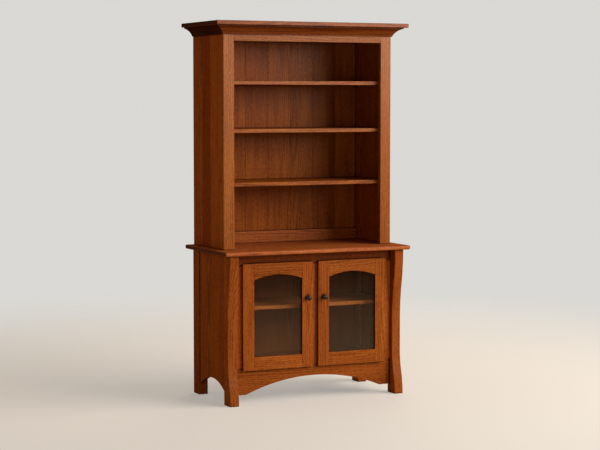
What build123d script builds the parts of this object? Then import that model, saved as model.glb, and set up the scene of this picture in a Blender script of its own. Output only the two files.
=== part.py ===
from build123d import *
import os

# Hutch bookcase on a base cabinet with two glazed doors. Millimetres.
# X runs to the right, Y to the back and Z up, from the centre of the footprint on the floor.

# Base cabinet sizes
base_width = 962
counter_height = 763
counter_depth = 536
counter_thickness = 21
counter_side_overhang = 30
counter_front_overhang = 22
counter_rear_overhang = 30
counter_edge_radius = 8
counter_corner_radius = 6
leg_width = 48
leg_depth = 76
leg_scoop = 32
leg_top_swing = 354
leg_foot_swing = 226
leg_edge_radius = 3
frame_setback = 54
frame_thickness = 22
base_top_rail_height = 57
apron_height = 134
apron_clearance = 45
apron_arch_rise = 75
apron_flat = 60
outer_stile_width = 49
centre_stile_width = 55
side_inset = 6
side_panel_clearance = 58
side_arch_rise = 53
side_panel_reveal = 4
base_back_recess = 32
base_back_thickness = 6
back_rail_height = 50
base_shelf_height = 478
base_shelf_setback = 24

# Sizes shared by both cases
board_thickness = 19
shelf_clearance = 1.5
shelf_edge_radius = 2
eased_edge = 1.0
tenon_thickness = 8
tenon_length = 12
tenon_shoulder = 12
tongue_thickness = 9
tongue_length = 8
dado_depth = 6
joint_slack = 0.4

# Shelf pins
pin_radius = 2.5
pin_reach = 9
pin_depth = 9
pin_inset = 48
pin_hole_spacing = 32
pin_hole_slack = 0.1

# Hutch sizes
hutch_side_setback = 47
hutch_depth = 399
hutch_side_height = 1107
hutch_stile_width = 57
hutch_top_rail_height = 77
hutch_case_top_drop = 46
hutch_shelf_heights = {"upper": 1598, "middle": 1359, "lower": 1093}
hutch_shelf_setback = 33
hutch_back_inset = 32
back_board_thickness = 10
back_board_count = 7
back_board_lap = 8
back_board_seam = 0.6
back_board_chamfer = 0.7
back_bottom_rail_height = 60
back_bottom_rail_thickness = 14

# Crown sizes
crown_board_thickness = 20
crown_side_overhang = 63
crown_front_overhang = 76
crown_edge_radius = 2.5
cove_width = 40
cove_height = 36
cove_hollow = 6
moulding_lip_height = 3
moulding_lip_thickness = 6
moulding_fillet_height = 6
moulding_fillet_step = 3
corner_block_width = 30

# Door sizes
door_thickness = 19
door_gap = 1.5
door_overlay = 12.5
door_stile_width = 60
door_bottom_rail_height = 66
door_top_rail_height = 57
door_arch_rise = 25
door_tenon_thickness = 7
door_tenon_length = 20
glass_rabbet_width = 9
glass_lip = 8
glass_thickness = 4
glass_clearance = 0.5

# Knob sizes
knob_height_on_door = 351
knob_radius = 14
knob_projection = 27
knob_base_radius = 8.5
knob_base_height = 2.5
knob_neck_radius = 5.5
knob_rim_height = 5
knob_screw_radius = 2
knob_screw_bite = 12
knob_screw_head_radius = 4
knob_screw_head_height = 2.5

# Pivot hinge sizes
hinge_plate_thickness = 2.5
hinge_running_gap = 0.3
hinge_pin_radius = 1.6
hinge_pin_clearance = 0.05
hinge_pin_edge = 4.5
hinge_pin_inset = 9
hinge_arm_half_width = 3.5
hinge_arm_cover = 1.1
hinge_flange_length = 45
hinge_flange_width = 10.5
hinge_leaf_length = 27
hinge_recess_length = 30
hinge_recess_front = 6

# Catch, bumper, tie plate, dowel and cleat sizes
catch_width = 36
catch_height = 12
catch_depth = 22
catch_from_centre = 100
catch_edge_radius = 1.5
strike_thickness = 1.2
strike_width = 32
strike_height = 11
bumper_radius = 4
bumper_thickness = 1.3
bumper_from_door_end = 70
tie_plate_width = 15
tie_plate_thickness = 2
tie_plate_height = 66
tie_plate_drop = 18
dowel_radius = 5
dowel_length = 32
dowel_in_counter = 12
dowel_inset = 55
cleat_size = 19
cleat_end_gap = 20

# Wood screw sizes
screw_radius = 1.5
screw_head_radius = 3
screw_head_height = 1.8
screw_length = 16
screw_clearance = 0.1
long_screw_length = 30
screw_end_inset = 8
screw_pitch = 14

# Base cabinet planes
front_y = -counter_depth / 2
back_y = counter_depth / 2
base_top = counter_height - counter_thickness
counter_half = base_width / 2 + counter_side_overhang
leg_outer = base_width / 2
leg_inner = leg_outer - leg_width
leg_front = front_y + counter_front_overhang
leg_back = leg_front + leg_depth
rear_leg_back = back_y - counter_rear_overhang
rear_leg_front = rear_leg_back - leg_depth
frame_front = leg_front + frame_setback
frame_back = frame_front + frame_thickness
frame_middle = (frame_front + frame_back) / 2
opening_top = base_top - base_top_rail_height
apron_top = apron_clearance + apron_height
opening_half = leg_inner - outer_stile_width
side_outer = leg_outer - side_inset
side_inner = side_outer - board_thickness
side_middle = (side_outer + side_inner) / 2
side_panel_front = leg_back + side_panel_reveal
side_panel_back = rear_leg_front - side_panel_reveal
floor_bottom = apron_top - board_thickness
base_back_rear = rear_leg_back - base_back_recess
base_back_front = base_back_rear - base_back_thickness
back_rail_front = base_back_front - board_thickness
back_rail_middle = (back_rail_front + base_back_front) / 2
back_rail_bottoms = (floor_bottom - back_rail_height, base_top - back_rail_height)
base_shelf_front = frame_back + base_shelf_setback
base_shelf_back = rear_leg_front - shelf_clearance

# Hutch planes
hutch_half = counter_half - hutch_side_setback
hutch_inner = hutch_half - board_thickness
hutch_side_middle = (hutch_half + hutch_inner) / 2
hutch_front = back_y - hutch_depth
hutch_frame_back = hutch_front + frame_thickness
hutch_frame_middle = (hutch_front + hutch_frame_back) / 2
hutch_opening_half = hutch_half - hutch_stile_width
hutch_top = counter_height + hutch_side_height
hutch_opening_top = hutch_top - hutch_top_rail_height
case_top_upper = hutch_top - hutch_case_top_drop
case_top_lower = case_top_upper - board_thickness
back_boards_rear = back_y - hutch_back_inset
back_boards_front = back_boards_rear - back_board_thickness
hutch_shelf_front = hutch_front + hutch_shelf_setback
hutch_shelf_back = back_boards_front - shelf_clearance
crown_top = hutch_top + crown_board_thickness
moulding_bottom = hutch_top - moulding_fillet_height - cove_height - moulding_lip_height
moulding_reach = moulding_lip_thickness + cove_width + moulding_fillet_step

# Door planes
door_back = frame_front - door_gap
door_front = door_back - door_thickness
glass_front = door_front + glass_lip
glass_back = glass_front + glass_thickness
door_middle = (door_front + glass_front) / 2
door_hinge_edge = opening_half + door_overlay
door_latch_edge = centre_stile_width / 2 - door_overlay
door_bottom = apron_top - door_overlay
door_top = opening_top + door_overlay
hinge_stile_inner = door_hinge_edge - door_stile_width
latch_stile_inner = door_latch_edge + door_stile_width
sight_bottom = door_bottom + door_bottom_rail_height
sight_top = door_top - door_top_rail_height
arch_spring = sight_top - door_arch_rise
rabbet_bottom = sight_bottom - glass_rabbet_width
rabbet_top = sight_top + glass_rabbet_width
knob_x = door_latch_edge + door_stile_width / 2
knob_z = door_bottom + knob_height_on_door

# Hinge, catch and bumper planes
hinge_pin_x = door_hinge_edge - hinge_pin_edge
hinge_pin_y = door_back - hinge_pin_inset
hinge_recess_depth = 2 * hinge_plate_thickness + hinge_running_gap + hinge_arm_cover
hinge_recess_y = hinge_pin_y - hinge_recess_front
hinge_flange_outer = hinge_pin_x + hinge_arm_half_width
hinge_flange_inner = hinge_flange_outer - hinge_flange_width
hinge_flange_middle = (hinge_flange_inner + hinge_flange_outer) / 2
hinge_leaf_inner = door_hinge_edge - hinge_leaf_length
catch_front = door_back + strike_thickness + hinge_running_gap
catch_middle = opening_top - catch_height / 2
bumper_x = (door_latch_edge + centre_stile_width / 2) / 2
bumper_heights = (door_bottom + bumper_from_door_end, door_top - bumper_from_door_end)

SIDES = {"left": -1, "right": 1}
UP = (0, 0, 1)
DOWN = (0, 0, -1)
BACKWARD = (0, 1, 0)
FORWARD = (0, -1, 0)
FROM_START = (Align.CENTER, Align.CENTER, Align.MIN)

os.makedirs("parts", exist_ok=True)


def save(piece, name):
    piece.part.label = name
    export_step(piece.part, f"parts/{name}.step")


def block(x, y, z, mode=Mode.ADD):
    """A box between two X, two Y and two Z values."""
    with Locations(((x[0] + x[1]) / 2, (y[0] + y[1]) / 2, (z[0] + z[1]) / 2)):
        Box(abs(x[1] - x[0]), abs(y[1] - y[0]), abs(z[1] - z[0]), mode=mode)


def rod(start, direction, radius, length, mode=Mode.ADD):
    """A round bar from a point along a direction."""
    with Locations(Plane(origin=start, z_dir=direction)):
        Cylinder(radius, length, align=FROM_START, mode=mode)


def screw(head, direction, length=screw_length, grow=0, mode=Mode.ADD):
    """A countersunk wood screw whose flat head is flush at a point."""
    with Locations(Plane(origin=head, z_dir=direction)):
        Cylinder(screw_radius + grow, length + grow, align=FROM_START, mode=mode)
        Cone(screw_head_radius + grow, screw_radius + grow, screw_head_height, align=FROM_START, mode=mode)


def screw_hole(head, direction, length=screw_length):
    screw(head, direction, length, screw_clearance, Mode.SUBTRACT)


def mirrored(side, near, far):
    """Two X values on one side of the centre line."""
    return (side * near, side * far)


def ease_front(piece, radius):
    """Round the edges of a piece's foremost face."""
    fillet(piece.faces().sort_by(Axis.Y)[0].edges(), radius)


# Places that several pieces share

def hinge_levels(end):
    """Heights of the door's end (1 top, -1 bottom) and of the hinge's leaf, arm and flange there."""
    door_end = door_top if end > 0 else door_bottom
    recess_floor = door_end - end * hinge_recess_depth
    leaf = (recess_floor, recess_floor + end * hinge_plate_thickness)
    arm_start = leaf[1] + end * hinge_running_gap
    arm = (arm_start, arm_start + end * hinge_plate_thickness)
    flange = (arm[1] - end * hinge_flange_length, arm[1])
    return door_end, leaf, arm, flange


def hinge_flange_screws(side):
    """Screw heads on both hinge flanges of one side."""
    heads = []
    for end in (-1, 1):
        flange_end = hinge_levels(end)[3][0]
        for step in range(2):
            height = flange_end + end * (screw_end_inset + step * screw_pitch)
            heads.append((side * hinge_flange_middle, frame_front, height))
    return heads


def cut_hinge_flanges(side):
    """The recesses in the face frame that take the hinge flanges of one side."""
    for end in (-1, 1):
        block(
            mirrored(side, hinge_flange_inner, hinge_flange_outer),
            (frame_front, frame_front + hinge_plate_thickness),
            hinge_levels(end)[3],
            Mode.SUBTRACT,
        )


def cleat_screws(side):
    """Screw heads under one counter cleat."""
    reach = (rear_leg_front - leg_back) / 2 - cleat_end_gap - cleat_size
    middle = (rear_leg_front + leg_back) / 2
    x = side * (side_inner - cleat_size / 2)
    return [(x, middle + step * reach, base_top - cleat_size) for step in (-1, 0, 1)]


def tie_screws(side):
    """Screw heads on one tie plate: one into the counter's edge, two into the hutch side."""
    x = side * hutch_side_middle
    in_counter = counter_height - counter_thickness / 2
    in_side = counter_height - tie_plate_drop + tie_plate_height - screw_end_inset
    return [(x, back_y, height) for height in (in_counter, in_side, in_side - screw_pitch)]


def catch_screws(side):
    """Screw heads under one magnetic catch."""
    y = catch_front + catch_depth / 2
    height = opening_top - catch_height
    return [(side * catch_from_centre + step * screw_pitch / 2, y, height) for step in (-1, 1)]


def dowel_places(side):
    x = side * hutch_side_middle
    return [(x, y) for y in (hutch_frame_back + dowel_inset, back_boards_front - dowel_inset)]


def tie_plate(side, mode=Mode.ADD):
    """The plate, or its recess, across the counter's rear edge and one hutch side."""
    foot = counter_height - tie_plate_drop
    block(
        mirrored(side, hutch_side_middle - tie_plate_width / 2, hutch_side_middle + tie_plate_width / 2),
        (back_y - tie_plate_thickness, back_y),
        (foot, foot + tie_plate_height),
        mode,
    )


def shelf_pin_places(front, back):
    return (front + pin_inset, back - pin_inset)


def drill_pin_holes(side, inner_face, front, back, shelf_top):
    """Three holes at each shelf pin, the middle one in use."""
    pin_height = shelf_top - board_thickness - pin_radius
    for y in shelf_pin_places(front, back):
        for step in (-1, 0, 1):
            start = (side * inner_face, y, pin_height + step * pin_hole_spacing)
            hole_radius = pin_radius + pin_hole_slack
            rod(start, (side, 0, 0), hole_radius, pin_depth + joint_slack, Mode.SUBTRACT)


# Base legs

def make_front_leg(word, side):
    """A leg whose front face swings in below the counter, runs straight and swings out to the foot."""
    hollow = leg_front + leg_scoop
    flat_ends = (base_top - leg_top_swing, leg_foot_swing)
    with BuildPart() as leg:
        with BuildSketch(Plane.YZ.offset(min(side * leg_inner, side * leg_outer))):
            with BuildLine():
                Polyline((leg_front, 0), (leg_back, 0), (leg_back, base_top), (leg_front, base_top))
                Line((hollow, flat_ends[0]), (hollow, flat_ends[1]))
                for leg_end, flat_end, inward in ((base_top, flat_ends[0], -1), (0, flat_ends[1], 1)):
                    swing = (leg_front + leg_scoop / 2, (leg_end + flat_end) / 2)
                    TangentArc((leg_front, leg_end), swing, tangent=(0, inward))
                    TangentArc((hollow, flat_end), swing, tangent=(0, -inward))
            make_face()
        extrude(amount=leg_width)
        outline = leg.faces().filter_by(Axis.X).edges().filter_by(Axis.Y, reverse=True)
        fillet(outline.filter_by_position(Axis.Y, leg_front, hollow), leg_edge_radius)
        block(
            mirrored(side, side_middle - tongue_thickness / 2, side_middle + tongue_thickness / 2),
            (leg_back - tongue_length - joint_slack, leg_back),
            (side_panel_clearance, base_top),
            Mode.SUBTRACT,
        )
        for low, high in ((opening_top, base_top), (apron_clearance, apron_top)):
            block(
                mirrored(side, leg_inner, leg_inner + tenon_length + joint_slack),
                (frame_middle - tenon_thickness / 2, frame_middle + tenon_thickness / 2),
                (low + tenon_shoulder, high - tenon_shoulder),
                Mode.SUBTRACT,
            )
    save(leg, f"base_front_leg_{word}")


def make_rear_leg(word, side):
    with BuildPart() as leg:
        block(mirrored(side, leg_inner, leg_outer), (rear_leg_front, rear_leg_back), (0, base_top))
        fillet(leg.edges().filter_by(Axis.Z), leg_edge_radius)
        block(
            mirrored(side, side_middle - tongue_thickness / 2, side_middle + tongue_thickness / 2),
            (rear_leg_front, rear_leg_front + tongue_length + joint_slack),
            (side_panel_clearance, base_top),
            Mode.SUBTRACT,
        )
        block(
            mirrored(side, leg_inner, leg_inner + tongue_length + joint_slack),
            (base_back_front, base_back_rear),
            (back_rail_bottoms[0], base_top),
            Mode.SUBTRACT,
        )
        for low in back_rail_bottoms:
            block(
                mirrored(side, leg_inner, leg_inner + tenon_length + joint_slack),
                (back_rail_middle - tenon_thickness / 2, back_rail_middle + tenon_thickness / 2),
                (low + tenon_shoulder, low + back_rail_height - tenon_shoulder),
                Mode.SUBTRACT,
            )
    save(leg, f"base_rear_leg_{word}")


# Base side panels, with an arched lower edge, a narrow reveal and a tongue at each leg

def make_base_side(word, side):
    middle = (side_panel_front + side_panel_back) / 2
    front_tongue = (leg_back - tongue_length, side_panel_front)
    back_tongue = (side_panel_back, rear_leg_front + tongue_length)
    with BuildPart() as panel:
        with BuildSketch(Plane.YZ.offset(min(side * side_inner, side * side_outer))):
            with BuildLine():
                Polyline(
                    (side_panel_front, side_panel_clearance),
                    (side_panel_front, base_top),
                    (side_panel_back, base_top),
                    (side_panel_back, side_panel_clearance),
                )
                ThreePointArc(
                    (side_panel_back, side_panel_clearance),
                    (middle, side_panel_clearance + side_arch_rise),
                    (side_panel_front, side_panel_clearance),
                )
            make_face()
        extrude(amount=board_thickness)
        for tongue in (front_tongue, back_tongue):
            block(
                mirrored(side, side_middle - tongue_thickness / 2, side_middle + tongue_thickness / 2),
                tongue,
                (side_panel_clearance, base_top),
            )
        block(
            mirrored(side, side_inner, side_inner + dado_depth),
            (leg_back, rear_leg_front),
            (floor_bottom, apron_top),
            Mode.SUBTRACT,
        )
        drill_pin_holes(side, side_inner, base_shelf_front, base_shelf_back, base_shelf_height)
    save(panel, f"base_side_panel_{word}")


# Base face frame

def frame_tenons(half_length, low, high, middle):
    """Stub tenons on both ends of a rail."""
    for side in SIDES.values():
        block(
            mirrored(side, half_length, half_length + tenon_length),
            (middle - tenon_thickness / 2, middle + tenon_thickness / 2),
            (low + tenon_shoulder, high - tenon_shoulder),
        )


def stile_spans():
    """X spans of the three base stiles."""
    outer = [sorted(mirrored(side, opening_half, leg_inner)) for side in SIDES.values()]
    return outer + [[-centre_stile_width / 2, centre_stile_width / 2]]


def stile_mortises(edge, direction):
    """Mortises for the base stiles in a rail's edge."""
    for left, right in stile_spans():
        block(
            (left + tenon_shoulder, right - tenon_shoulder),
            (frame_middle - tenon_thickness / 2, frame_middle + tenon_thickness / 2),
            (edge, edge + direction * (tenon_length + joint_slack)),
            Mode.SUBTRACT,
        )


def make_base_top_rail():
    with BuildPart() as rail:
        block((-leg_inner, leg_inner), (frame_front, frame_back), (opening_top, base_top))
        ease_front(rail, eased_edge)
        frame_tenons(leg_inner, opening_top, base_top, frame_middle)
        stile_mortises(opening_top, 1)
        for side in SIDES.values():
            cut_hinge_flanges(side)
            for head in catch_screws(side):
                screw_hole(head, UP, screw_length + catch_height / 2)
    save(rail, "base_top_rail")


def make_apron():
    arch_half = leg_inner - apron_flat
    with BuildPart() as apron:
        with BuildSketch(Plane.XZ.offset(-frame_back)):
            with BuildLine():
                Polyline(
                    (-arch_half, apron_clearance),
                    (-leg_inner, apron_clearance),
                    (-leg_inner, apron_top),
                    (leg_inner, apron_top),
                    (leg_inner, apron_clearance),
                    (arch_half, apron_clearance),
                )
                ThreePointArc(
                    (arch_half, apron_clearance),
                    (0, apron_clearance + apron_arch_rise),
                    (-arch_half, apron_clearance),
                )
            make_face()
        extrude(amount=frame_thickness)
        ease_front(apron, eased_edge)
        frame_tenons(leg_inner, apron_clearance, apron_top, frame_middle)
        stile_mortises(apron_top, -1)
        for side in SIDES.values():
            cut_hinge_flanges(side)
    save(apron, "base_apron")


def make_base_stiles():
    names = [f"base_stile_{word}" for word in SIDES] + ["base_centre_stile"]
    for name, (left, right) in zip(names, stile_spans()):
        with BuildPart() as stile:
            block((left, right), (frame_front, frame_back), (apron_top, opening_top))
            ease_front(stile, eased_edge)
            block(
                (left + tenon_shoulder, right - tenon_shoulder),
                (frame_middle - tenon_thickness / 2, frame_middle + tenon_thickness / 2),
                (apron_top - tenon_length, opening_top + tenon_length),
            )
            for side in SIDES.values():
                cut_hinge_flanges(side)
                for head in hinge_flange_screws(side):
                    screw_hole(head, BACKWARD)
        save(stile, name)


# Base floor, back and shelf

def make_base_inside():
    with BuildPart() as floor:
        block((-leg_inner, leg_inner), (frame_back, base_back_front), (floor_bottom, apron_top))
        dado_reach = side_inner + dado_depth
        block((-dado_reach, dado_reach), (leg_back, rear_leg_front), (floor_bottom, apron_top))
    save(floor, "base_floor")

    with BuildPart() as panel:
        reach = leg_inner + tongue_length
        block((-reach, reach), (base_back_front, base_back_rear), (back_rail_bottoms[0], base_top))
    save(panel, "base_back_panel")

    with BuildPart() as rails:
        for low in back_rail_bottoms:
            high = low + back_rail_height
            block((-leg_inner, leg_inner), (back_rail_front, base_back_front), (low, high))
            frame_tenons(leg_inner, low, high, back_rail_middle)
    save(rails, "base_back_rails")

    make_shelf("base_shelf", side_inner, base_shelf_front, base_shelf_back, base_shelf_height)


def make_shelf(name, inner_face, front, back, top):
    half = inner_face - shelf_clearance
    with BuildPart() as shelf:
        block((-half, half), (front, back), (top - board_thickness, top))
        nose = shelf.faces().sort_by(Axis.Y)[0]
        fillet(nose.edges().filter_by(Axis.X), shelf_edge_radius)
    save(shelf, name)


# Countertop and the cleats that hold it

def make_counter():
    with BuildPart() as counter:
        block((-counter_half, counter_half), (front_y, back_y), (base_top, counter_height))
        fillet(counter.edges().filter_by(Axis.Z).group_by(Axis.Y)[0], counter_corner_radius)
        rims = counter.faces().sort_by(Axis.Z)[0].edges() + counter.faces().sort_by(Axis.Z)[-1].edges()
        square_back = rims.group_by(Axis.Y)[-1]
        fillet([edge for edge in rims if edge not in square_back], counter_edge_radius)
        for side in SIDES.values():
            tie_plate(side, Mode.SUBTRACT)
            screw_hole(tie_screws(side)[0], FORWARD)
            for x, y in dowel_places(side):
                hole_radius = dowel_radius + pin_hole_slack
                rod((x, y, counter_height), DOWN, hole_radius, dowel_in_counter, Mode.SUBTRACT)
            for head in cleat_screws(side):
                screw_hole(head, UP, long_screw_length)
    save(counter, "countertop")

    with BuildPart() as cleats:
        for side in SIDES.values():
            block(
                mirrored(side, side_inner - cleat_size, side_inner),
                (leg_back + cleat_end_gap, rear_leg_front - cleat_end_gap),
                (base_top - cleat_size, base_top),
            )
            for head in cleat_screws(side):
                screw_hole(head, UP, long_screw_length)
    save(cleats, "counter_cleats")


# Hutch case

def make_hutch_side(word, side):
    with BuildPart() as panel:
        across = mirrored(side, hutch_inner, hutch_half)
        block(across, (hutch_frame_back, back_y), (counter_height, hutch_top))
        groove = mirrored(side, hutch_inner, hutch_inner + dado_depth)
        block(groove, (back_boards_front, back_boards_rear), (counter_height, hutch_top), Mode.SUBTRACT)
        block(groove, (hutch_frame_back, back_boards_front), (case_top_lower, case_top_upper), Mode.SUBTRACT)
        for shelf_top in hutch_shelf_heights.values():
            drill_pin_holes(side, hutch_inner, hutch_shelf_front, hutch_shelf_back, shelf_top)
        for x, y in dowel_places(side):
            depth = dowel_length - dowel_in_counter + joint_slack
            rod((x, y, counter_height), UP, dowel_radius + pin_hole_slack, depth, Mode.SUBTRACT)
        tie_plate(side, Mode.SUBTRACT)
        for head in tie_screws(side)[1:]:
            screw_hole(head, FORWARD)
    save(panel, f"hutch_side_{word}")


def make_hutch_stile(word, side):
    with BuildPart() as stile:
        block(
            mirrored(side, hutch_opening_half, hutch_half),
            (hutch_front, hutch_frame_back),
            (counter_height, hutch_top),
        )
        ease_front(stile, eased_edge)
        block(
            mirrored(side, hutch_opening_half, hutch_opening_half + tenon_length + joint_slack),
            (hutch_frame_middle - tenon_thickness / 2, hutch_frame_middle + tenon_thickness / 2),
            (hutch_opening_top + tenon_shoulder, hutch_top - tenon_shoulder),
            Mode.SUBTRACT,
        )
    save(stile, f"hutch_stile_{word}")


def make_hutch_inside():
    with BuildPart() as rail:
        block(
            (-hutch_opening_half, hutch_opening_half),
            (hutch_front, hutch_frame_back),
            (hutch_opening_top, hutch_top),
        )
        ease_front(rail, eased_edge)
        frame_tenons(hutch_opening_half, hutch_opening_top, hutch_top, hutch_frame_middle)
    save(rail, "hutch_top_rail")

    with BuildPart() as case_top:
        reach = hutch_inner + dado_depth
        block((-reach, reach), (hutch_frame_back, back_boards_front), (case_top_lower, case_top_upper))
    save(case_top, "hutch_case_top")

    with BuildPart() as bottom_rail:
        block(
            (-hutch_inner, hutch_inner),
            (back_boards_front - back_bottom_rail_thickness, back_boards_front),
            (counter_height, counter_height + back_bottom_rail_height),
        )
        ease_front(bottom_rail, eased_edge)
    save(bottom_rail, "hutch_back_bottom_rail")

    for word, height in hutch_shelf_heights.items():
        make_shelf(f"hutch_shelf_{word}", hutch_inner, hutch_shelf_front, hutch_shelf_back, height)


def make_back_boards():
    """Vertical shiplapped boards, each lapped behind the next."""
    reach = hutch_inner + dado_depth
    pitch = 2 * reach / back_board_count
    heights = (counter_height, hutch_top)
    split_y = (back_boards_front + back_boards_rear) / 2
    with BuildPart() as boards:
        for index in range(back_board_count):
            start = index * pitch - reach
            last = index == back_board_count - 1
            end = start + pitch - (0 if last else back_board_seam)
            core_start = start if index == 0 else start + back_board_lap
            block((core_start, end), (back_boards_front, back_boards_rear), heights)
            if index > 0:
                block((start, core_start), (back_boards_front, split_y - joint_slack / 2), heights)
            if not last:
                block((end, end + back_board_lap), (split_y + joint_slack / 2, back_boards_rear), heights)
        seams = boards.edges().filter_by(Axis.Z).group_by(Axis.Y)[0]
        chamfer(seams, back_board_chamfer)
    save(boards, "hutch_back_boards")


# Crown: a mitred cove moulding under an overhanging board

def moulding_outline(face, outward):
    """Points of the moulding's section: distance out from the case and height."""
    lip_top = moulding_bottom + moulding_lip_height
    cove_top = lip_top + cove_height
    lip = face + outward * moulding_lip_thickness
    cove_end = lip + outward * cove_width
    reach = face + outward * moulding_reach
    dip = cove_hollow / (cove_width ** 2 + cove_height ** 2) ** 0.5
    middle_out = (lip + cove_end) / 2 - outward * dip * cove_height
    cove_middle = (middle_out, (lip_top + cove_top) / 2 + dip * cove_width)
    return lip, lip_top, cove_middle, cove_end, cove_top, reach


def mitre_plane(side):
    return Plane(origin=(side * hutch_half, hutch_front, 0), z_dir=(side, 1, 0))


def make_crown_front():
    face = hutch_front
    lip, lip_top, cove_middle, cove_end, cove_top, reach = moulding_outline(face, -1)
    half = hutch_half + moulding_reach
    with BuildPart() as moulding:
        with BuildSketch(Plane.YZ.offset(-half)):
            with BuildLine():
                Polyline((face, hutch_top), (face, moulding_bottom), (lip, moulding_bottom), (lip, lip_top))
                ThreePointArc((lip, lip_top), cove_middle, (cove_end, cove_top))
                Polyline((cove_end, cove_top), (reach, cove_top), (reach, hutch_top), (face, hutch_top))
            make_face()
        extrude(amount=2 * half)
        for side in SIDES.values():
            split(bisect_by=mitre_plane(side), keep=Keep.BOTTOM)
    save(moulding, "crown_moulding_front")


def make_crown_side(word, side):
    face = side * hutch_half
    lip, lip_top, cove_middle, cove_end, cove_top, reach = moulding_outline(face, side)
    with BuildPart() as moulding:
        with BuildSketch(Plane.XZ.offset(-back_y)):
            with BuildLine():
                Polyline((face, hutch_top), (face, moulding_bottom), (lip, moulding_bottom), (lip, lip_top))
                ThreePointArc((lip, lip_top), cove_middle, (cove_end, cove_top))
                Polyline((cove_end, cove_top), (reach, cove_top), (reach, hutch_top), (face, hutch_top))
            make_face()
        extrude(amount=hutch_depth + moulding_reach)
        split(bisect_by=mitre_plane(side), keep=Keep.TOP)
    save(moulding, f"crown_moulding_{word}")


def make_crown_top():
    half = hutch_half + crown_side_overhang
    with BuildPart() as board:
        block((-half, half), (hutch_front - crown_front_overhang, back_y), (hutch_top, crown_top))
        rims = board.faces().sort_by(Axis.Z)[0].edges() + board.faces().sort_by(Axis.Z)[-1].edges()
        square_back = rims.group_by(Axis.Y)[-1]
        fillet([edge for edge in rims if edge not in square_back], crown_edge_radius)
    save(board, "crown_top_board")

    with BuildPart() as blocks:
        for side in SIDES.values():
            across = mirrored(side, hutch_inner - corner_block_width, hutch_inner)
            for start in (hutch_frame_back, back_boards_front - corner_block_width):
                block(across, (start, start + corner_block_width), (case_top_upper, hutch_top))
    save(blocks, "crown_corner_blocks")


# Doors

def cut_glass_rabbet(side):
    block(
        mirrored(side, latch_stile_inner - glass_rabbet_width, hinge_stile_inner + glass_rabbet_width),
        (glass_front, door_back),
        (rabbet_bottom, rabbet_top),
        Mode.SUBTRACT,
    )


def door_tenon_levels():
    """Tenon heights of the bottom rail and the top rail, clear of the glass."""
    bottom = (door_bottom + tenon_shoulder, rabbet_bottom - tenon_shoulder / 2)
    top = (rabbet_top + tenon_shoulder, door_top - tenon_shoulder)
    return bottom, top


def door_tenon_spans(side, length):
    """X spans of the tenons at the latch stile and the hinge stile."""
    return (
        mirrored(side, latch_stile_inner - length, latch_stile_inner),
        mirrored(side, hinge_stile_inner, hinge_stile_inner + length),
    )


def door_tenon_depth():
    return (door_middle - door_tenon_thickness / 2, door_middle + door_tenon_thickness / 2)


def cut_door_mortises(side):
    for across in door_tenon_spans(side, door_tenon_length + joint_slack):
        for levels in door_tenon_levels():
            block(across, door_tenon_depth(), levels, Mode.SUBTRACT)


def hinge_leaf_screws(side, end):
    """Screw heads on one door leaf."""
    leaf = hinge_levels(end)[1]
    x = side * (hinge_leaf_inner + screw_end_inset / 2)
    y = hinge_pin_y
    return [(x, y, leaf[1]), (x + side * (screw_pitch - screw_head_radius), y, leaf[1])]


def make_door_stiles(word, side):
    with BuildPart() as stile:
        across = mirrored(side, hinge_stile_inner, door_hinge_edge)
        block(across, (door_front, door_back), (door_bottom, door_top))
        ease_front(stile, eased_edge)
        cut_glass_rabbet(side)
        cut_door_mortises(side)
        for end in (-1, 1):
            door_end, leaf = hinge_levels(end)[:2]
            block(
                mirrored(side, door_hinge_edge - hinge_recess_length, door_hinge_edge),
                (hinge_recess_y, door_back),
                (leaf[0], door_end),
                Mode.SUBTRACT,
            )
            for head in hinge_leaf_screws(side, end):
                screw_hole(head, (0, 0, -end))
    save(stile, f"{word}_door_hinge_stile")

    with BuildPart() as stile:
        across = mirrored(side, door_latch_edge, latch_stile_inner)
        block(across, (door_front, door_back), (door_bottom, door_top))
        ease_front(stile, eased_edge)
        cut_glass_rabbet(side)
        cut_door_mortises(side)
        hole_radius = knob_screw_radius + screw_clearance
        rod((side * knob_x, door_front, knob_z), BACKWARD, hole_radius, door_thickness, Mode.SUBTRACT)
    save(stile, f"{word}_door_latch_stile")


def make_door_rails(word, side):
    left, right = sorted(mirrored(side, latch_stile_inner, hinge_stile_inner))
    bottom_tenon, top_tenon = door_tenon_levels()
    with BuildPart() as rail:
        block((left, right), (door_front, door_back), (door_bottom, sight_bottom))
        ease_front(rail, eased_edge)
        cut_glass_rabbet(side)
        for across in door_tenon_spans(side, door_tenon_length):
            block(across, door_tenon_depth(), bottom_tenon)
    save(rail, f"{word}_door_bottom_rail")

    with BuildPart() as rail:
        with BuildSketch(Plane.XZ.offset(-door_back)):
            with BuildLine():
                Polyline((left, arch_spring), (left, door_top), (right, door_top), (right, arch_spring))
                ThreePointArc((right, arch_spring), ((left + right) / 2, sight_top), (left, arch_spring))
            make_face()
        extrude(amount=door_thickness)
        ease_front(rail, eased_edge)
        cut_glass_rabbet(side)
        for across in door_tenon_spans(side, door_tenon_length):
            block(across, door_tenon_depth(), top_tenon)
        screw_hole((side * catch_from_centre, door_back + strike_thickness, catch_middle), FORWARD)
    save(rail, f"{word}_door_top_rail")


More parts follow.
